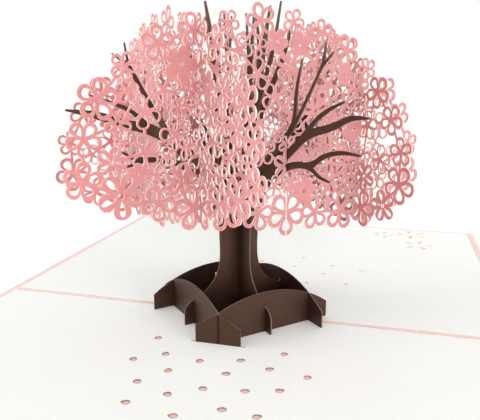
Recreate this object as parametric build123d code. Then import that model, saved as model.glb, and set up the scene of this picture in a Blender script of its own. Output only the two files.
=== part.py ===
from build123d import *
from bisect import bisect
from itertools import accumulate
from math import atan2, cos, degrees, dist, pi, sin, sqrt, tan
import os

# A pop-up greeting card, opened flat, with a paper cherry tree that stands over its fold.
# Millimetres. The fold lies along X, the front panel is towards -Y, and Z is up.
# The origin is at the middle of the fold, on the card's underside.

# Folded cover and the liners glued inside it
card_width = 178.0
panel_depth = 127.0
cover_sheet = 0.4
liner_sheet = 0.4
liner_border = 3.0
fold_margin = 1.0
crease_width = 0.8
crease_depth = 0.15

# Paper of the tree and the fit of its slots
tree_sheet = 0.35
slot_clearance = 0.05

# Root arches, which stand in a diamond round the trunk
arch_offset = 16.5
arch_tail = 7.2
arch_peak = 13.0
arch_end = 5.3
arch_lap = 5.0
fold_past_lap = 0.8
slit_overrun = 1.4

# Trunk and roots
trunk_half = 7.3
trunk_neck = 36.0
trunk_lap = 23.0
flare_half = 9.9
flare_height = 12.6
root_height = 8.1
root_end = 6.1
root_tab = 3.4
root_headroom = 1.2
root_heading = (-1.0, 0.3)

# Limbs on one side of a trunk sheet, as stations of reach, height and half width.
# The other side mirrors them.
limbs_a = [
    [(1.9, 30, 5.2), (4.4, 50, 2.8), (6.0, 68, 1.7), (8.4, 84, 1.1), (11.2, 98.4, 0.3)],
    [(7.1, 80, 0.7), (7.2, 88, 0.6), (6.0, 95.8, 0.25)],
    [(5.6, 62, 1.3), (12.5, 75, 0.9), (17.5, 86, 0.7), (19.5, 94.5, 0.25)],
    [(3.2, 33, 4.0), (13.0, 50.5, 2.2), (22.0, 58.4, 1.7), (29.0, 62.6, 1.5), (38.0, 64.6, 1.25),
     (44.5, 67.2, 1.1), (52.7, 68.6, 0.25)],
    [(20.5, 57.8, 1.2), (26.0, 64.4, 0.8), (30.0, 71.2, 0.7), (35.0, 80.4, 0.55), (39.4, 83.2, 0.2)],
    [(31.4, 73.8, 0.5), (34.9, 80.0, 0.4), (35.8, 86.2, 0.2)],
    [(29.5, 63.0, 0.8), (34.6, 68.0, 0.6), (40.0, 70.2, 0.5), (46.0, 72.4, 0.2)],
    [(5.0, 36, 2.4), (14.0, 48.4, 1.3), (24.0, 53.6, 0.9), (33.6, 53.9, 0.7), (39.0, 57.2, 0.2)],
    [(32.2, 54.0, 0.5), (36.0, 52.2, 0.4), (41.0, 52.6, 0.2)],
]
limbs_b = [
    [(1.9, 30, 5.2), (4.2, 49, 2.8), (5.6, 66, 1.7), (7.2, 82, 1.0), (9.2, 97.4, 0.3)],
    [(6.2, 76, 0.7), (5.4, 87, 0.6), (4.3, 95.2, 0.25)],
    [(5.2, 58, 1.4), (12.4, 72, 1.0), (19.0, 84, 0.8), (22.4, 96.6, 0.25)],
    [(3.0, 33, 4.0), (12.0, 46.4, 2.0), (20.0, 52.4, 1.5), (28.0, 57.2, 1.15), (35.5, 62.8, 1.1),
     (45.8, 65.2, 0.95), (52.0, 68.0, 0.7), (58.2, 68.0, 0.2)],
    [(33.0, 61.4, 0.75), (39.4, 67.0, 0.65), (44.6, 69.7, 0.5), (49.6, 71.4, 0.2)],
    [(13.0, 49.4, 1.5), (21.5, 58.2, 1.1), (28.4, 63.2, 0.8), (30.0, 67.6, 0.75), (30.3, 74.4, 0.6),
     (32.6, 81.6, 0.2)],
    [(28.8, 63.4, 0.6), (33.4, 69.4, 0.5), (37.0, 74.4, 0.42), (41.3, 80.4, 0.38), (41.9, 85.2, 0.2)],
    [(40.6, 79.4, 0.4), (44.8, 82.8, 0.2)],
    [(5.0, 36, 2.4), (14.0, 46.6, 1.3), (22.0, 51.0, 1.1), (30.0, 54.2, 0.95), (37.4, 54.6, 0.8),
     (42.6, 58.0, 0.65), (49.4, 59.6, 0.55), (56.0, 59.4, 0.2)],
    [(36.2, 54.8, 0.6), (40.6, 52.2, 0.5), (45.2, 51.6, 0.2)],
]

# Blossom crowns, in two pairs that cross. Each is wider towards the card's front or back edge.
crown_offset = 26.5
crown_half_width_a = 56.0
crown_half_width_b = 53.0
crown_lean = 5.0
crown_widest = 54.0
crown_top = 96.0
crown_bottom = 35.0
foot_tilt = 5.0
crown_lap = 66.0
rim_count = 26
rim_blossom = 4.8
rim_variation = 0.14
rim_growth = 0.2
rim_sway = 0.5
pierced_step = 6
crown_inset = 1.5
crown_blossom = 5.2
high_row = 75.0
low_row = 48.5

# Powers of the crown's outline: 1 is an ellipse, more is leaner and less is fuller
wide_shoulder = 0.85
narrow_shoulder = 1.3
wide_foot = 1.2
narrow_foot = 0.65

# Shape of one blossom: reaches as shares of its radius, spreads as shares of the step between petals
petal_count = 5
petal_shoulder = 0.97
petal_valley = 0.5
shoulder_spread = 0.2
cut_inner = 0.22
cut_outer = 0.78
cut_spread = 0.2

# Petals and blossoms cut out of the liners
fallen_length = 2.9
fallen_width = 2.6
fallen_tip = 1.3
fallen_belly = 1.7
fallen_clearance = 3.0
front_scatter = (3.0, 16.0)
front_scatter_radius = 27.0
front_scatter_count = 24
back_scatter = (17.0, 22.0)
back_scatter_radius = 24.0
back_scatter_count = 10

# Blossoms near the back corner, as distances from the card's edges and a radius
corner_blossoms = [(44.0, 15.0, 7.0), (29.5, 11.5, 9.5), (27.5, 30.0, 9.0)]

# Values that follow from the sizes above
inner_face = cover_sheet + liner_sheet
slot_width = tree_sheet + 2 * slot_clearance
tab_length = arch_tail - fold_past_lap
tab_line = sqrt(2) * arch_offset + sqrt(0.5) * fold_past_lap
tab_reach = sqrt(0.5) * fold_past_lap + tab_length
slit_reach = tab_reach + slit_overrun
petal_step = 2 * pi / petal_count
golden_angle = pi * (3 - sqrt(5))
rim_samples = 720

# The tree's sheets run along two directions, each half a right angle from the fold
half_right_angle = pi / 4
along_a = Vector(cos(half_right_angle), sin(half_right_angle), 0)
along_b = Vector(cos(half_right_angle), -sin(half_right_angle), 0)
upwards = Vector(0, 0, 1)


def polar(radius, angle):
    return (radius * cos(angle), radius * sin(angle))


def blossom_outline(radius, turn):
    """Blossom whose petals each have a valley and two shoulders."""
    shoulder_lean = petal_step * shoulder_spread
    corners = [
        (-petal_step / 2, petal_valley),
        (-shoulder_lean, petal_shoulder),
        (shoulder_lean, petal_shoulder),
    ]
    spots = []
    for petal in range(petal_count):
        for lean, reach in corners:
            spots.append(polar(radius * reach, turn + petal * petal_step + lean))
    return Polygon(*spots, align=None)


def petal_cuts(radius, turn):
    """Wedge-shaped holes, one along each petal of a blossom."""
    side_lean = petal_step * cut_spread
    holes = []
    for petal in range(petal_count):
        axis = turn + petal * petal_step
        spots = [
            polar(radius * cut_inner, axis),
            polar(radius * cut_outer, axis - side_lean),
            polar(radius * cut_outer, axis + side_lean),
        ]
        holes.append(Polygon(*spots, align=None))
    return holes


def slot(reach, low, high):
    """Slot in a sheet at the given reach, between two heights."""
    return Pos(reach, (low + high) / 2) * Rectangle(slot_width, high - low)


def stand(profile, run, offset=0.0):
    """Sheet of the tree's paper, upright on the inner face along run, moved sideways by offset."""
    across = along_b if run is along_a else along_a
    plane = Plane(origin=across * offset + upwards * inner_face, x_dir=run, z_dir=run.cross(upwards))
    return extrude(plane * profile, amount=tree_sheet / 2, both=True)


def cover():
    """One sheet with a scored crease on the inside of its fold."""
    section = Polygon(
        (-panel_depth, 0),
        (panel_depth, 0),
        (panel_depth, cover_sheet),
        (crease_width / 2, cover_sheet),
        (0, cover_sheet - crease_depth),
        (-crease_width / 2, cover_sheet),
        (-panel_depth, cover_sheet),
        align=None,
    )
    return extrude(Plane.YZ * section, amount=card_width / 2, both=True)


def fallen_petal():
    """Small petal with a pointed foot and a blunt tip."""
    foot = -fallen_length / 2
    belly = foot + fallen_belly
    return Polygon(
        (foot, 0),
        (belly, -fallen_width / 2),
        (-foot, -fallen_tip / 2),
        (-foot, fallen_tip / 2),
        (belly, fallen_width / 2),
        align=None,
    )


def scatter(side, centre, radius, count):
    """Petals spread evenly over a round patch, each turned its own way, clear of the tree's foot."""
    foot = tab_line + slit_reach + fallen_clearance
    petals = []
    for k in range(count):
        dx, dy = polar(radius * sqrt((k + 0.5) / count), k * golden_angle)
        x = centre[0] + dx
        y = side * (tab_line + centre[1]) + dy
        if abs(x) + abs(y) > foot:
            petals.append(Pos(x, y) * Rot(Z=degrees(k * petal_step)) * fallen_petal())
    return petals


def liner(side, cut_outs):
    """Sheet on one panel, with its cut-outs and a slit for the arch tabs."""
    depth = panel_depth - liner_border - fold_margin
    sheet = Pos(0, side * (fold_margin + depth / 2)) * Rectangle(card_width - 2 * liner_border, depth)
    slit = Pos(0, side * tab_line) * Rectangle(2 * slit_reach, slot_width)
    sheet -= cut_outs + [slit]
    return extrude(Pos(0, 0, cover_sheet) * sheet, amount=liner_sheet)


def corner_cuts():
    """Blossoms cut out near the back right corner of the card."""
    holes = []
    for from_side, from_back, radius in corner_blossoms:
        place = Pos(card_width / 2 - from_side, panel_depth - from_back)
        holes += [place * hole for hole in petal_cuts(radius, golden_angle * len(holes))]
    return holes


def limb(stations):
    """Limb that tapers along its stations."""
    left = []
    right = []
    for k, (reach, height, half) in enumerate(stations):
        before = stations[max(k - 1, 0)]
        after = stations[min(k + 1, len(stations) - 1)]
        heading = atan2(after[1] - before[1], after[0] - before[0])
        across = polar(half, heading + pi / 2)
        left.append((reach + across[0], height + across[1]))
        right.append((reach - across[0], height - across[1]))
    return Polygon(*left, *reversed(right), align=None)


def trunk_profile(limbs):
    """Trunk with flared roots, a tab past each arch, and limbs on both sides."""
    root_reach = arch_offset + root_tab
    root_top = (arch_offset, root_height)
    neck = (trunk_half, trunk_neck)
    flare = Spline(root_top, (flare_half, flare_height), neck, tangents=[root_heading, (0, 1)])
    tab = Polyline((0, trunk_neck), (0, 0), (root_reach, 0), (root_reach, root_end), root_top)
    half = make_face([tab, flare, Line(neck, (0, trunk_neck))])
    half += [limb(stations) for stations in limbs]
    return half + mirror(half, about=Plane.YZ)


def top_at(profile, reach):
    """Height of the top of a profile where another sheet crosses it."""
    crossing = profile & slot(reach, 0, crown_top)
    return crossing.bounding_box().max.Y


def arch_height(reach):
    """Height of an arch's round top at a distance from its middle."""
    span = arch_offset + arch_tail
    sagitta = arch_peak - arch_end
    radius = (span**2 + sagitta**2) / (2 * sagitta)
    return arch_peak - radius + sqrt(radius**2 - reach**2)


def arch(lap_from_top):
    """Root arch with a round top, its front end folded into a tab, at the front left of the tree."""
    half = tree_sheet / 2
    span = arch_offset + arch_tail
    bend = arch_offset + fold_past_lap
    mitre = half * tan(half_right_angle / 2)
    tip = polar(tab_length, half_right_angle)
    aside = polar(half, half_right_angle + pi / 2)
    plan = Polygon(
        (-span, -half),
        (bend + mitre, -half),
        (bend + tip[0] - aside[0], tip[1] - aside[1]),
        (bend + tip[0] + aside[0], tip[1] + aside[1]),
        (bend - mitre, half),
        (-span, half),
        align=None,
    )
    strip = extrude(Pos(0, 0, -liner_sheet) * plan, amount=liner_sheet + arch_peak)

    foot = Polyline((span, arch_end), (span, -liner_sheet), (bend, -liner_sheet), (bend, 0), (-span, 0))
    rise = ThreePointArc((-span, arch_end), (0, arch_peak), (span, arch_end))
    side = make_face([rise, foot, Line((-span, 0), (-span, arch_end))])
    side -= slot(0, -liner_sheet, root_height + root_headroom)
    for reach in (-arch_offset, arch_offset):
        if lap_from_top:
            side -= slot(reach, arch_lap, arch_peak)
        else:
            side -= slot(reach, -liner_sheet, arch_lap + slot_clearance)
    folded = strip & extrude(Plane.XZ * side, amount=span, both=True)

    shoulder = (0, arch_height(bend))
    above_tab = Polygon((0, arch_peak), shoulder, (tab_length, arch_end), (tab_length, arch_peak), align=None)
    tab_plane = Plane(origin=(bend, 0, 0), x_dir=tip + (0,), z_dir=(tip[1], -tip[0], 0))
    folded -= extrude(tab_plane * above_tab, amount=tree_sheet, both=True)
    corner = along_a * -arch_offset + upwards * inner_face
    return Pos(*corner) * Rot(Z=-degrees(half_right_angle)) * folded


def rim_point(angle, inset, half_width):
    """Point on a crown's rim, moved inwards; the wide half is on the positive side."""
    wide = cos(angle) > 0
    high = sin(angle) > 0
    if high:
        power = wide_shoulder if wide else narrow_shoulder
    else:
        power = wide_foot if wide else narrow_foot
    reach = (half_width - inset + (crown_lean if wide else -crown_lean)) * abs(cos(angle)) ** power
    x = reach if wide else -reach
    if high:
        rise = crown_top - crown_widest - inset
    else:
        rise = crown_bottom - crown_widest + inset + foot_tilt * x / half_width
    return (x, crown_widest + rise * abs(sin(angle)) ** power)


def rim_blossoms(half_width):
    """Blossoms at even steps round a crown's rim from the middle of its foot, larger towards the foot,
    each as a centre, a radius and a turn."""
    from_foot = [2 * pi * k / rim_samples - pi / 2 for k in range(rim_samples + 1)]
    steps = [rim_point(angle, rim_blossom, half_width) for angle in from_foot]
    travelled = list(accumulate(dist(a, b) for a, b in zip(steps, steps[1:])))
    blossoms = []
    for k in range(rim_count):
        here = bisect(travelled, travelled[-1] * k / rim_count)
        centre = steps[here]
        size = 1 + rim_variation * cos(golden_angle * k) - rim_growth * sin(from_foot[here])
        outward = atan2(centre[1] - crown_widest, centre[0])
        blossoms.append((centre, rim_blossom * size, outward + rim_sway * sin(golden_angle * k)))
    return blossoms


def crown_profile(half_width, lap_from_top, limb_top):
    """Blossom sheet with blossoms round its rim, pierced blossoms, and slots for the sheets it crosses."""
    turns = [2 * pi * k / rim_count for k in range(rim_count)]
    field = [rim_point(angle, rim_blossom + crown_inset, half_width) for angle in turns]
    rim = rim_blossoms(half_width)
    sheet = Polygon(*field, align=None)
    sheet += [Pos(*centre) * blossom_outline(radius, turn) for centre, radius, turn in rim]
    pierced = rim[::pierced_step]
    for reach, height in ((-crown_offset / 2, high_row), (crown_offset / 2, low_row)):
        pierced.append(((reach, height), crown_blossom, golden_angle * height))
    holes = []
    for centre, radius, turn in pierced:
        holes += [Pos(*centre) * hole for hole in petal_cuts(radius, turn)]
    for reach in (-crown_offset, crown_offset):
        if lap_from_top:
            holes.append(slot(reach, crown_lap, crown_top))
        else:
            holes.append(slot(reach, 0, crown_lap + slot_clearance))
    holes.append(slot(0, 0, limb_top + slot_clearance))
    sheet -= holes
    # Any tip of a petal that a slot cuts free falls away
    return sheet.faces().sort_by(SortBy.AREA)[-1]


os.makedirs("parts", exist_ok=True)

petals_front = scatter(-1, front_scatter, front_scatter_radius, front_scatter_count)
petals_back = scatter(1, back_scatter, back_scatter_radius, back_scatter_count)

trunk_a = trunk_profile(limbs_a)
trunk_b = trunk_profile(limbs_b)
crown_a = crown_profile(crown_half_width_a, False, top_at(trunk_b, crown_offset))
crown_b = crown_profile(crown_half_width_b, True, top_at(trunk_a, crown_offset))
arch_above = arch(lap_from_top=True)
arch_below = mirror(arch(lap_from_top=False), about=Plane.YZ)

parts = {
    "cover": cover(),
    "front_liner": liner(-1, petals_front),
    "back_liner": liner(1, petals_back + corner_cuts()),
    "trunk_sheet_a": stand(trunk_a - slot(0, 0, trunk_lap + slot_clearance), along_a),
    "trunk_sheet_b": stand(trunk_b - slot(0, trunk_lap, crown_top), along_b),
    "front_left_arch": arch_above,
    "front_right_arch": arch_below,
    "back_left_arch": Rot(Z=180) * arch_below,
    "back_right_arch": Rot(Z=180) * arch_above,
    "front_right_crown": stand(mirror(crown_a, about=Plane.YZ), along_a, crown_offset),
    "back_left_crown": stand(crown_a, along_a, -crown_offset),
    "front_left_crown": stand(crown_b, along_b, -crown_offset),
    "back_right_crown": stand(mirror(crown_b, about=Plane.YZ), along_b, crown_offset),
}

for name, solid in parts.items():
    export_step(solid, f"parts/{name}.step")
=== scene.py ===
import random
from bisect import bisect
from itertools import accumulate
from math import atan2, cos, degrees, dist, pi, sin, sqrt

import bpy
from mathutils import Matrix, Vector
from mathutils.geometry import delaunay_2d_cdt


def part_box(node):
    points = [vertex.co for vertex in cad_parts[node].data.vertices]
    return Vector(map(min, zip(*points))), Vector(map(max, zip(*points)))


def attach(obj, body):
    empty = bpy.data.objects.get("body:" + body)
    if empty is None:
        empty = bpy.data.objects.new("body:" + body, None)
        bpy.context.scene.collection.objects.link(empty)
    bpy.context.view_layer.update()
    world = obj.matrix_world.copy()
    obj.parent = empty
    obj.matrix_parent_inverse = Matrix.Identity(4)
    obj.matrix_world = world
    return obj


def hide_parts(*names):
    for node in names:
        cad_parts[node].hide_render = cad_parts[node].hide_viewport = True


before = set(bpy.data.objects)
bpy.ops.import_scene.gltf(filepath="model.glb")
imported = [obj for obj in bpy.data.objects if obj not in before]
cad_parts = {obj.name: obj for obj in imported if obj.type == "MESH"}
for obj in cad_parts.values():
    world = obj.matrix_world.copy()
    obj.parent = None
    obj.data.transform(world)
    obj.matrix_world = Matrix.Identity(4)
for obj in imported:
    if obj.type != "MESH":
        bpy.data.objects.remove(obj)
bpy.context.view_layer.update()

# A pop-up card, opened flat, with a paper cherry tree over its fold. Metres, in the frame of its solids.
MM = 0.001

# Camera, fitted to the card's fold and edges in a picture of 480 by 420 pixels; angles in radians
picture_width_px = 480
focal_length_px = 560
sensor_width_mm = 36.0
camera_azimuth = 0.26
camera_elevation = 0.231
camera_distance = 180.6 * MM
camera_aim_side = 0.38 * MM
camera_aim_height = 36.2 * MM
camera_clip_start = 1 * MM

# Lamps, with their azimuth from the front towards the right, elevation and spread in radians
lamps = {
    "key": {"azimuth": 0.3, "elevation": 0.3, "spread": 0.25, "strength": 1.5},
    "right": {"azimuth": 1.05, "elevation": 0.15, "spread": 0.6, "strength": 1.55},
    "left": {"azimuth": -1.25, "elevation": 0.15, "spread": 0.6, "strength": 1.75},
}
world_strength = 0.735

# Floor round the card, which fades out between two distances from the middle of the fold
floor_reach = 0.9
floor_drop = 0.05 * MM
floor_grey = 0.93
floor_roughness = 0.9
floor_lift = 0.1
floor_fade_start = 0.2
floor_fade_end = 0.5

# Noise in the paper: features to the metre, octaves and the span of its values that the colours cross
cloud_scale = 45
cloud_detail = 2
cloud_span = (0.3, 0.7)
fibre_scale = 900
fibre_detail = 5
fibre_span = (0.35, 0.65)
fibre_stretch = (1, 1.6, 2.4)
tooth_scale = 2600
tooth_detail = 4
tooth_strength = 0.25
tooth_depth = 0.04 * MM
burn_scale = 350
burn_detail = 4
burn_span = (0.35, 0.65)

# Cut edges, and light that wanders inside the paper: how far red, green and blue reach
edge_roughness = 0.85
glow_radius = (1, 0.5, 0.45)
glow_depth = 1 * MM

# Shape of a blossom, as shares of its radius
petal_valley = 0.46
drop_inner = 0.19
drop_outer = 0.88
drop_half_width = 0.37
rim_drop_outer = 0.8
rim_drop_half_width = 0.29
slit_half_width = 0.16
eye_radius = 0.13

# Petals of a blossom, points on its outlines and the power by which a teardrop widens
petal_count = 5
petal_points = 9
drop_points = 14
eye_points = 10
drop_power = 0.6

# Crown outline and its rim of blossoms, as in the solids
crown_half_width_a = 56 * MM
crown_half_width_b = 53 * MM
crown_lean = 5 * MM
crown_widest = 54 * MM
crown_top = 96 * MM
crown_bottom = 35 * MM
foot_tilt = 5 * MM
crown_lap = 66 * MM
wide_shoulder = 0.85
narrow_shoulder = 1.3
wide_foot = 1.2
narrow_foot = 0.65
rim_count = 26
rim_blossom = 4.8 * MM
rim_variation = 0.14
rim_growth = 0.2
rim_sway = 0.5
rim_samples = 720
pierced_step = 6
heart_blossom = 5.2 * MM
heart_high = 75.0 * MM
heart_low = 48.5 * MM

# Blossoms packed inside the rim, from the largest to the smallest, and the links between blossoms
fill_radii = [4.4 * MM, 3.9 * MM, 3.4 * MM, 3.0 * MM, 2.6 * MM, 2.2 * MM, 1.9 * MM]
fill_tries = 1400
fill_inset = 2.5 * MM
link_count = 4
link_half_width = 0.35 * MM
link_gap = 1.2 * MM
link_rank = -1

# Bands of lace across a crown: its narrow end, the narrow half, the wide half and its wide end
band_spacing = [0.88, 0.73, 0.88, 0.78]
band_smallest = [2.4 * MM, 1.8 * MM, 2.4 * MM, 2.1 * MM]

# Shares of blossoms with teardrops and with slits: in each band, on the rim and for the pierced ones
band_shares = [(0.74, 0.2), (0.16, 0.6), (0.74, 0.2), (0.46, 0.34)]
rim_shares = (0.8, 0.2)
pierced_shares = (1, 0)

# Sheets of the tree and the slots in them
tree_sheet = 0.35 * MM
slot_clearance = 0.05 * MM
slot_half_width = tree_sheet / 2 + slot_clearance

# Corners of a solid's outline: those that turn by more than these degrees stay sharp
trunk_sharpest = 60
petal_sharpest = 120
right_angle = 90
right_angle_slack = 1
soften_rounds = 3
soften_share = 0.25

# Tolerances: cosines between normals that count as one direction, and lengths that count as none
sheet_cosine = 0.9
card_cosine = 0.97
outline_grid = 1e-6
rim_slack = 1e-7
cut_snap = 1e-8

petal_step = 2 * pi / petal_count
golden_angle = pi * (3 - sqrt(5))

along_a = Vector((1, 1, 0)).normalized()
along_b = Vector((1, -1, 0)).normalized()
towards_back = Vector((0, 1, 0))
up = Vector((0, 0, 1))
inner_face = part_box("front_liner")[1].z


def polar(radius, angle):
    return Vector((radius * cos(angle), radius * sin(angle)))


def add_object(name, data):
    made = bpy.data.objects.new(name, data)
    bpy.context.scene.collection.objects.link(made)
    return made


# Materials

def material_nodes(name):
    """New material with its node tree and its shader."""
    material = bpy.data.materials.new(name)
    material.use_nodes = True
    tree = material.node_tree
    return material, tree, tree.nodes["Principled BSDF"]


def node(tree, kind, **values):
    """New node with the given values on its sockets and settings."""
    made = tree.nodes.new(kind)
    for key, value in values.items():
        if key in made.inputs:
            made.inputs[key].default_value = value
        else:
            setattr(made, key, value)
    return made


def noise(tree, scale, detail, stretch=None):
    """Noise in the object's own coordinates, in features to the metre."""
    place = tree.nodes.new("ShaderNodeTexCoord")
    source = place.outputs["Object"]
    if stretch:
        mapping = node(tree, "ShaderNodeMapping", Scale=stretch)
        tree.links.new(source, mapping.inputs["Vector"])
        source = mapping.outputs["Vector"]
    made = node(tree, "ShaderNodeTexNoise", Scale=scale, Detail=detail)
    tree.links.new(source, made.inputs["Vector"])
    return made.outputs["Fac"]


def ramp(tree, factor, span, colours):
    """Colour that goes from the first to the second as the factor crosses the span."""
    made = tree.nodes.new("ShaderNodeValToRGB")
    for element, place, colour in zip(made.color_ramp.elements, span, colours):
        element.position = place
        element.color = (*colour, 1)
    tree.links.new(factor, made.inputs["Fac"])
    return made.outputs["Color"]


def shade(colour, amount):
    return tuple(min(1.0, channel * amount) for channel in colour)


def paper(name, colour, mottle, fibre=0.05, roughness=0.75, gloss=0.2, tint=(1, 1, 1), glow=0.0):
    """Card with soft clouds, fine fibres and a slight tooth; glow is its share of light from inside."""
    material, tree, shader = material_nodes(name)
    cloud_noise = noise(tree, cloud_scale, cloud_detail)
    clouds = ramp(tree, cloud_noise, cloud_span, [shade(colour, 1 - mottle), shade(colour, 1 + mottle)])
    fibre_noise = noise(tree, fibre_scale, fibre_detail, fibre_stretch)
    fibres = ramp(tree, fibre_noise, fibre_span, [(1 - fibre,) * 3, (1 + fibre,) * 3])
    mix = node(tree, "ShaderNodeMix", data_type="RGBA", blend_type="MULTIPLY")
    mix.inputs["Factor"].default_value = 1
    tree.links.new(clouds, mix.inputs["A"])
    tree.links.new(fibres, mix.inputs["B"])
    tree.links.new(mix.outputs["Result"], shader.inputs["Base Color"])
    bump = node(tree, "ShaderNodeBump", Strength=tooth_strength, Distance=tooth_depth)
    tree.links.new(noise(tree, tooth_scale, tooth_detail), bump.inputs["Height"])
    tree.links.new(bump.outputs["Normal"], shader.inputs["Normal"])
    shader.inputs["Roughness"].default_value = roughness
    shader.inputs["Specular IOR Level"].default_value = gloss
    shader.inputs["Specular Tint"].default_value = (*tint, 1)
    shader.inputs["Subsurface Weight"].default_value = glow
    shader.inputs["Subsurface Radius"].default_value = glow_radius
    shader.inputs["Subsurface Scale"].default_value = glow_depth
    return material


def cut_edge(name, pale, burnt):
    """Edge of card cut by heat, browned unevenly."""
    material, tree, shader = material_nodes(name)
    colour = ramp(tree, noise(tree, burn_scale, burn_detail), burn_span, [burnt, pale])
    tree.links.new(colour, shader.inputs["Base Color"])
    shader.inputs["Roughness"].default_value = edge_roughness
    return material


blossom_face = paper("blossom_card", (0.505, 0.24, 0.238), mottle=0.08, glow=1.0)
blossom_edge = cut_edge("blossom_edge", (0.93, 0.75, 0.68), (0.58, 0.42, 0.38))
brown_face = paper("brown_card", (0.014, 0.0056, 0.0038), mottle=0.1, fibre=0.12, roughness=0.48,
                   gloss=0.78, tint=(1, 0.58, 0.43))
brown_edge = cut_edge("brown_edge", (0.17, 0.12, 0.095), (0.085, 0.058, 0.045))
liner_face = paper("liner_card", (0.95, 0.97, 0.935), mottle=0.008, fibre=0.012)
front_liner_edge = cut_edge("front_liner_edge", (0.42, 0.22, 0.14), (0.19, 0.10, 0.065))
back_liner_edge = cut_edge("back_liner_edge", (0.90, 0.70, 0.53), (0.76, 0.53, 0.39))
liner_rim = cut_edge("liner_rim", (0.65, 0.51, 0.47), (0.61, 0.46, 0.42))
cover_face = paper("cover_card", (0.94, 0.73, 0.685), mottle=0.015)
cover_edge = cut_edge("cover_edge", (0.92, 0.74, 0.70), (0.84, 0.62, 0.58))


# Flat sheets

def boundary(triangles):
    """Directed edges that only one triangle has."""
    edges = {(t[k], t[k - 2]) for t in triangles for k in range(3)}
    return [(a, b) for a, b in edges if (b, a) not in edges]


def turns_left(loop):
    return sum(a.cross(b) for a, b in zip(loop, loop[1:] + loop[:1])) > 0


def largest_island(triangles):
    """Triangles of the largest connected stretch of paper."""
    owner = {}
    for index, t in enumerate(triangles):
        for k in range(3):
            owner.setdefault(frozenset((t[k], t[k - 1])), []).append(index)
    seen = set()
    best = []
    for start in range(len(triangles)):
        if start in seen:
            continue
        seen.add(start)
        island = [start]
        for index in island:
            t = triangles[index]
            for k in range(3):
                for other in owner[frozenset((t[k], t[k - 1]))]:
                    if other not in seen:
                        seen.add(other)
                        island.append(other)
        if len(island) > len(best):
            best = island
    return [triangles[index] for index in sorted(best)]


def on_side(a, b, limits):
    """Whether an edge lies on a side of the box with these limits: least x and y, greatest x and y."""
    sides = [(k % 2, limit) for k, limit in enumerate(limits)]
    return any(abs(a[axis] - limit) + abs(b[axis] - limit) < rim_slack for axis, limit in sides)


def sheet(name, loops, is_paper, place, thickness, materials):
    """Sheet cut to closed loops; is_paper tells from the loops round a spot whether it is paper.
    place is the sheet's middle plane as a matrix, with its normal along Z. The materials are the face's,
    the cut edges' and, where there is a third, that of the edges on the sheet's bounding box."""
    points = []
    faces = []
    for loop in loops:
        faces.append(list(range(len(points), len(points) + len(loop))))
        points.extend(loop if turns_left(loop) else reversed(loop))
    spots, _, triangles, _, _, around = delaunay_2d_cdt(points, [], faces, 0, cut_snap, True)
    kept = largest_island([tuple(t) for t, ids in zip(triangles, around) if is_paper(ids)])

    used = sorted({corner for t in kept for corner in t})
    index = {corner: k for k, corner in enumerate(used)}
    count = len(used)
    front = [place @ Vector((*spots[corner], thickness / 2)) for corner in used]
    back = [place @ Vector((*spots[corner], -thickness / 2)) for corner in used]
    polygons = [tuple(index[corner] for corner in t) for t in kept]
    polygons += [tuple(index[corner] + count for corner in reversed(t)) for t in kept]
    kinds = [0] * len(polygons)
    limits = [limit(spots[corner][axis] for corner in used) for limit in (min, max) for axis in (0, 1)]
    for a, b in sorted(boundary(kept)):
        kinds.append(len(materials) - 1 if on_side(spots[a], spots[b], limits) else 1)
        polygons.append((index[a], index[a] + count, index[b] + count, index[b]))

    mesh = bpy.data.meshes.new(name)
    mesh.from_pydata(front + back, [], polygons)
    for material in materials:
        mesh.materials.append(material)
    mesh.polygons.foreach_set("material_index", kinds)
    mesh.update()
    return add_object(name, mesh)


def dress(piece, node_name):
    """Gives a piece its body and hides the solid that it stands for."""
    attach(piece, "root")
    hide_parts(node_name)


def across(run):
    """Direction along the sheets that cross those along run."""
    return along_b if run is along_a else along_a


def upright(run, offset=0.0):
    """Plane of an upright sheet that stands on the inner face along run."""
    normal = run.cross(up)
    plane = Matrix((run, up, normal)).transposed().to_4x4()
    plane.translation = across(run) * offset + up * inner_face
    return plane


def solid_loops(node_name, place):
    """Outlines of a solid sheet's face, in the coordinates of its plane."""
    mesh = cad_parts[node_name].data
    to_plane = place.inverted()
    normal = place.to_3x3() @ up
    spots = {}
    corners = []
    for vertex in mesh.vertices:
        flat = to_plane @ vertex.co
        key = (round(flat.x / outline_grid), round(flat.y / outline_grid))
        corners.append(spots.setdefault(key, Vector((flat.x, flat.y))))
    number = {id(spot): k for k, spot in enumerate(spots.values())}
    triangles = []
    for polygon in mesh.polygons:
        if polygon.normal.dot(normal) > sheet_cosine:
            triangles.append(tuple(number[id(corners[k])] for k in polygon.vertices))
    after = dict(boundary(triangles))
    points = list(spots.values())
    loops = []
    while after:
        start, here = after.popitem()
        loop = [points[start]]
        while here != start:
            loop.append(points[here])
            here = after.pop(here)
        loops.append(loop)
    return loops


def turn_at(loop, k):
    """Degrees by which a loop turns at one of its points."""
    before = loop[k] - loop[k - 1]
    after = loop[(k + 1) % len(loop)] - loop[k]
    return degrees(abs(before.angle_signed(after)))


def has_right_angle(loop):
    return any(abs(turn_at(loop, k) - right_angle) < right_angle_slack for k in range(len(loop)))


def soften(loop, sharpest):
    """Rounds each corner of a loop that turns by no more than sharpest degrees."""
    keep = {id(loop[k]) for k in range(len(loop)) if turn_at(loop, k) > sharpest}
    for _ in range(soften_rounds):
        softer = []
        for k, point in enumerate(loop):
            if id(point) in keep:
                softer.append(point)
                continue
            softer.append(point.lerp(loop[k - 1], soften_share))
            softer.append(point.lerp(loop[(k + 1) % len(loop)], soften_share))
        loop = softer
    return loop


# Crowns

def blossom_outline(centre, radius, turn):
    loop = []
    for petal in range(petal_count):
        for k in range(petal_points):
            swing = pi * (k / petal_points - 0.5)
            reach = petal_valley + (1 - petal_valley) * cos(swing)
            lean = petal_step / 2 * sin(swing)
            loop.append(centre + polar(radius * reach, turn + petal * petal_step + lean))
    return loop


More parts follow.
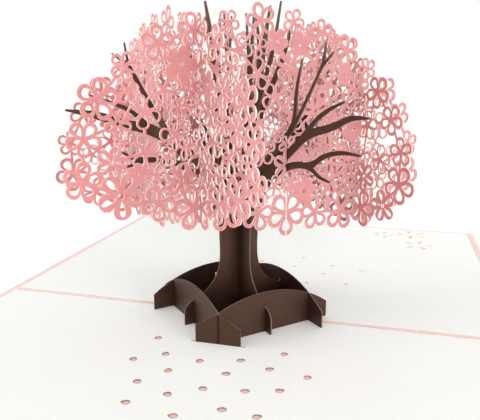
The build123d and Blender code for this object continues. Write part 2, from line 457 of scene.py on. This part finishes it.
def petal_drops(centre, radius, turn, half_width, outer=drop_outer):
    """Teardrop holes, one along each petal, widest towards the tip."""
    middle = (drop_inner + outer) / 2 * radius
    half_length = (outer - drop_inner) / 2 * radius
    drops = []
    for petal in range(petal_count):
        axis = polar(1, turn + petal * petal_step)
        side = axis.orthogonal()
        drop = []
        for k in range(drop_points):
            swing = 2 * pi * k / drop_points
            wide = half_width * radius * sin(swing) * ((1 - cos(swing)) / 2) ** drop_power
            drop.append(centre + axis * (middle - half_length * cos(swing)) + side * wide)
        drops.append(drop)
    return drops


def eye(centre, radius):
    return [centre + polar(radius * eye_radius, 2 * pi * k / eye_points) for k in range(eye_points)]


def rim_point(angle, inset, half_width):
    """Point on a crown's rim, moved inwards; the wide half is on the positive side."""
    wide = cos(angle) > 0
    high = sin(angle) > 0
    if high:
        power = wide_shoulder if wide else narrow_shoulder
    else:
        power = wide_foot if wide else narrow_foot
    reach = (half_width - inset + (crown_lean if wide else -crown_lean)) * abs(cos(angle)) ** power
    x = reach if wide else -reach
    if high:
        rise = crown_top - crown_widest - inset
    else:
        rise = crown_bottom - crown_widest + inset + foot_tilt * x / half_width
    return Vector((x, crown_widest + rise * abs(sin(angle)) ** power))


def rim_blossoms(half_width):
    """Blossoms at even steps round the rim, larger towards the foot, as (centre, radius, turn)."""
    from_foot = [2 * pi * k / rim_samples - pi / 2 for k in range(rim_samples + 1)]
    steps = [rim_point(angle, rim_blossom, half_width) for angle in from_foot]
    travelled = list(accumulate(dist(a, b) for a, b in zip(steps, steps[1:])))
    blossoms = []
    for k in range(rim_count):
        here = bisect(travelled, travelled[-1] * k / rim_count)
        centre = steps[here]
        size = 1 + rim_variation * cos(golden_angle * k) - rim_growth * sin(from_foot[here])
        outward = atan2(centre.y - crown_widest, centre.x)
        blossoms.append((centre, rim_blossom * size, outward + rim_sway * sin(golden_angle * k)))
    return blossoms


def heart_blossoms(offset):
    """The two pierced blossoms between the slots, turned by the golden angle for each millimetre up."""
    blossoms = []
    for reach, height in ((-offset / 2, heart_high), (offset / 2, heart_low)):
        blossoms.append((Vector((reach, height)), heart_blossom, golden_angle * (height / MM)))
    return blossoms


def band(centre, offset):
    """Number of the band of lace at a spot; the slots and the middle divide the bands."""
    return bisect([-offset, 0, offset], centre.x)


def fill_blossoms(placed, half_width, offset, dice):
    """Ever smaller blossoms packed between those in place, each with a petal towards its nearest."""
    blossoms = list(placed)
    middle = Vector((0, crown_widest))
    for radius in fill_radii:
        for _ in range(fill_tries):
            spot = rim_point(dice.uniform(0, 2 * pi), fill_inset + radius / 2, half_width)
            centre = middle.lerp(spot, sqrt(dice.random()))
            here = band(centre, offset)
            if radius < band_smallest[here]:
                continue
            spacing = band_spacing[here]
            if all((centre - c).length > spacing * (radius + r) for c, r, _ in blossoms):
                nearest = min(blossoms, key=lambda other: (other[0] - centre).length - other[1])
                away = nearest[0] - centre
                blossoms.append((centre, radius, atan2(away.y, away.x)))
    return blossoms[len(placed):]


def links(blossoms):
    """Narrow strips between the middles of neighbouring blossoms, which hold the sheet together."""
    strips = []
    for centre, radius, _ in blossoms:
        nearest = sorted(blossoms, key=lambda other: (other[0] - centre).length - other[1])
        for other, reach, _ in nearest[1:link_count + 1]:
            if (other - centre).length - radius - reach < link_gap:
                aside = (other - centre).orthogonal().normalized() * link_half_width
                strips.append([centre + aside, centre - aside, other - aside, other + aside])
    return strips


def cuts(centre, radius, turn, share_drops, share_slits, on_rim, dice):
    """Holes of a blossom: teardrops, slits or an eye."""
    kind = dice.random()
    if kind < share_drops and on_rim:
        return petal_drops(centre, radius, turn, rim_drop_half_width, rim_drop_outer)
    if kind < share_drops:
        return petal_drops(centre, radius, turn, drop_half_width)
    if kind < share_drops + share_slits:
        return petal_drops(centre, radius, turn, slit_half_width) + [eye(centre, radius)]
    return [eye(centre, radius)]


def crown_loops(half_width, side, offset, slots, seed):
    """Loops of one crown, and what each of them is: (rank of its blossom, is it a hole).
    The links lie below all blossoms, and the slots cut through all of them."""
    dice = random.Random(seed)
    rim = rim_blossoms(half_width)
    hearts = heart_blossoms(offset)
    fill = fill_blossoms(rim + hearts, half_width, offset, dice)
    blossoms = fill + hearts + rim
    shares = [band_shares[band(centre, offset)] for centre, _, _ in fill]
    shares += [pierced_shares] * len(hearts)
    shares += [rim_shares if k % pierced_step else pierced_shares for k in range(len(rim))]
    loops = links(blossoms)
    kinds = [(link_rank, False)] * len(loops)
    for rank, (centre, radius, turn) in enumerate(blossoms):
        holes = cuts(centre, radius, turn, *shares[rank], rank >= len(fill), dice)
        loops.append(blossom_outline(centre, radius, turn))
        kinds.append((rank, False))
        loops += holes
        kinds += [(rank, True)] * len(holes)
    loops = [[Vector((side * point.x, point.y)) for point in loop] for loop in loops]
    for reach, low, high in slots:
        left = reach - slot_half_width
        right = reach + slot_half_width
        loops.append([Vector(p) for p in ((left, low), (right, low), (right, high), (left, high))])
        kinds.append((len(blossoms), True))
    return loops, kinds


def paper_in(kinds):
    """Test for a spot: paper where the topmost blossom round it has no hole there."""
    def is_paper(ids):
        if not ids:
            return False
        top = max(kinds[k][0] for k in ids)
        return not any(kinds[k] == (top, True) for k in ids)
    return is_paper


def top_at(loops, reach):
    """Height of the top of an outline at the given reach."""
    heights = []
    for loop in loops:
        for a, b in zip(loop, loop[1:] + loop[:1]):
            if (a.x - reach) * (b.x - reach) < 0:
                heights.append(a.y + (b.y - a.y) * (reach - a.x) / (b.x - a.x))
    return max(heights)


def sheet_offset(node_name, run):
    """Sideways place of an upright solid sheet."""
    low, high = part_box(node_name)
    return across(run).dot((low + high) / 2)


trunk_loops = {
    "trunk_sheet_a": solid_loops("trunk_sheet_a", upright(along_a)),
    "trunk_sheet_b": solid_loops("trunk_sheet_b", upright(along_b)),
}


def make_trunk(node_name, run):
    """Trunk sheet with its solid's outline, rounded between the sharp corners."""
    loops = [soften(loop, trunk_sharpest) for loop in trunk_loops[node_name]]
    piece = sheet(node_name + "_card", loops, bool, upright(run), tree_sheet, [brown_face, brown_edge])
    dress(piece, node_name)


def make_crown(node_name, run, half_width, lap_from_top, crossing_trunk, side, seed):
    """Crown cut to a lattice of blossoms, slotted for two crowns and a trunk sheet that cross it.
    side is the direction of its wide half along run."""
    offset = sheet_offset(node_name, run)
    slots = []
    for reach in (-abs(offset), abs(offset)):
        slots.append((reach, crown_lap, crown_top) if lap_from_top else (reach, 0, crown_lap))
    slots.append((0, 0, top_at(trunk_loops[crossing_trunk], offset)))
    loops, kinds = crown_loops(half_width, side, abs(offset), slots, seed)
    piece = sheet(node_name + "_lattice", loops, paper_in(kinds), upright(run, offset), tree_sheet,
                  [blossom_face, blossom_edge])
    dress(piece, node_name)


crown_along_a = {
    "run": along_a,
    "half_width": crown_half_width_a,
    "lap_from_top": False,
    "crossing_trunk": "trunk_sheet_b",
}
crown_along_b = {
    "run": along_b,
    "half_width": crown_half_width_b,
    "lap_from_top": True,
    "crossing_trunk": "trunk_sheet_a",
}
make_trunk("trunk_sheet_a", along_a)
make_trunk("trunk_sheet_b", along_b)
make_crown("front_right_crown", **crown_along_a, side=-1, seed=1)
make_crown("back_left_crown", **crown_along_a, side=1, seed=4)
make_crown("front_left_crown", **crown_along_b, side=1, seed=3)
make_crown("back_right_crown", **crown_along_b, side=-1, seed=6)


# Liners, cover and arches

def make_liner(node_name, edge):
    """Liner with its cut-outs, rounded where their loop has no right angle."""
    low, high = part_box(node_name)
    place = Matrix.Translation((0, 0, (low.z + high.z) / 2))
    loops = []
    for loop in solid_loops(node_name, place):
        loops.append(loop if has_right_angle(loop) else soften(loop, petal_sharpest))
    outer = max(range(len(loops)), key=lambda k: max(point.x for point in loops[k]))
    piece = sheet(node_name + "_card", loops, lambda ids: ids == [outer], place, high.z - low.z,
                  [liner_face, edge, liner_rim])
    dress(piece, node_name)


def make_copy(node_name, normals, materials):
    """Copy of a solid: its faces along the given normals are card, and the others are cut edges."""
    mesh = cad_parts[node_name].data.copy()
    mesh.name = node_name + "_card"
    mesh.materials.clear()
    for material in materials:
        mesh.materials.append(material)
    for polygon in mesh.polygons:
        is_card = any(abs(polygon.normal.dot(normal)) > card_cosine for normal in normals)
        polygon.material_index = 0 if is_card else 1
    piece = add_object(node_name + "_card", mesh)
    dress(piece, node_name)


make_liner("front_liner", front_liner_edge)
make_liner("back_liner", back_liner_edge)
make_copy("cover", [up], [cover_face, cover_edge])
for node_name, normal in (("front_left_arch", along_a), ("back_right_arch", along_a),
                          ("front_right_arch", along_b), ("back_left_arch", along_b)):
    make_copy(node_name, [normal, towards_back], [brown_face, brown_edge])


# Floor, light and camera

def make_floor():
    """Pale floor round the card, a little lighter to the camera, that fades into the white beyond."""
    corners = [(x * floor_reach, y * floor_reach, 0) for x, y in ((-1, -1), (1, -1), (1, 1), (-1, 1))]
    mesh = bpy.data.meshes.new("floor")
    mesh.from_pydata(corners, [], [(0, 1, 2, 3)])
    floor = add_object("floor", mesh)
    floor.location.z = -floor_drop
    material, tree, shader = material_nodes("floor")
    shader.inputs["Base Color"].default_value = (floor_grey, floor_grey, floor_grey, 1)
    shader.inputs["Roughness"].default_value = floor_roughness
    shader.inputs["Specular IOR Level"].default_value = 0
    rays = tree.nodes.new("ShaderNodeLightPath")
    lift = node(tree, "ShaderNodeMath", operation="MULTIPLY")
    lift.inputs[1].default_value = floor_lift
    tree.links.new(rays.outputs["Is Camera Ray"], lift.inputs[0])
    tree.links.new(lift.outputs["Value"], shader.inputs["Emission Strength"])
    shader.inputs["Emission Color"].default_value = (1, 1, 1, 1)
    clear = tree.nodes.new("ShaderNodeBsdfTransparent")
    mix = tree.nodes.new("ShaderNodeMixShader")
    place = tree.nodes.new("ShaderNodeTexCoord")
    length = node(tree, "ShaderNodeVectorMath", operation="LENGTH")
    fade = tree.nodes.new("ShaderNodeMapRange")
    fade.inputs["From Min"].default_value = floor_fade_start
    fade.inputs["From Max"].default_value = floor_fade_end
    tree.links.new(place.outputs["Object"], length.inputs[0])
    tree.links.new(length.outputs["Value"], fade.inputs["Value"])
    tree.links.new(fade.outputs["Result"], mix.inputs["Fac"])
    tree.links.new(shader.outputs["BSDF"], mix.inputs[1])
    tree.links.new(clear.outputs["BSDF"], mix.inputs[2])
    tree.links.new(mix.outputs["Shader"], tree.nodes["Material Output"].inputs["Surface"])
    mesh.materials.append(material)


def make_world():
    """Even light from all round, but plain white for camera, glossy and transmitted rays."""
    world = bpy.data.worlds.new("studio")
    bpy.context.scene.world = world
    world.use_nodes = True
    tree = world.node_tree
    light = tree.nodes["Background"]
    light.inputs["Color"].default_value = (1, 1, 1, 1)
    light.inputs["Strength"].default_value = world_strength
    white = node(tree, "ShaderNodeBackground", Color=(1, 1, 1, 1), Strength=1.0)
    rays = tree.nodes.new("ShaderNodeLightPath")
    mix = tree.nodes.new("ShaderNodeMixShader")
    seen = rays.outputs["Is Camera Ray"]
    for kind in ("Is Glossy Ray", "Is Transmission Ray"):
        either = node(tree, "ShaderNodeMath", operation="MAXIMUM")
        tree.links.new(seen, either.inputs[0])
        tree.links.new(rays.outputs[kind], either.inputs[1])
        seen = either.outputs["Value"]
    tree.links.new(seen, mix.inputs["Fac"])
    tree.links.new(light.outputs["Background"], mix.inputs[1])
    tree.links.new(white.outputs["Background"], mix.inputs[2])
    tree.links.new(mix.outputs["Shader"], tree.nodes["World Output"].inputs["Surface"])


def direction(azimuth, elevation):
    """Direction from the card, with the azimuth from its front towards its right."""
    return Vector((sin(azimuth) * cos(elevation), -cos(azimuth) * cos(elevation), sin(elevation)))


def make_sun(name, azimuth, elevation, spread, strength):
    lamp = bpy.data.lights.new(name, "SUN")
    lamp.angle = spread
    lamp.energy = strength
    holder = add_object(name, lamp)
    holder.rotation_euler = direction(azimuth, elevation).to_track_quat("Z", "Y").to_euler()


def make_camera():
    camera = bpy.data.cameras.new("camera")
    camera.sensor_width = sensor_width_mm
    camera.lens = sensor_width_mm * focal_length_px / picture_width_px
    camera.clip_start = camera_clip_start
    holder = add_object("camera", camera)
    back = direction(camera_azimuth, camera_elevation)
    right = Vector((cos(camera_azimuth), sin(camera_azimuth), 0))
    aim = right * camera_aim_side + up * camera_aim_height
    place = Matrix((right, back.cross(right), back)).transposed().to_4x4()
    place.translation = aim + back * camera_distance
    holder.matrix_world = place
    bpy.context.scene.camera = holder


make_floor()
make_world()
for name, values in lamps.items():
    make_sun(name, **values)
make_camera()
bpy.context.scene.view_settings.view_transform = "Standard"
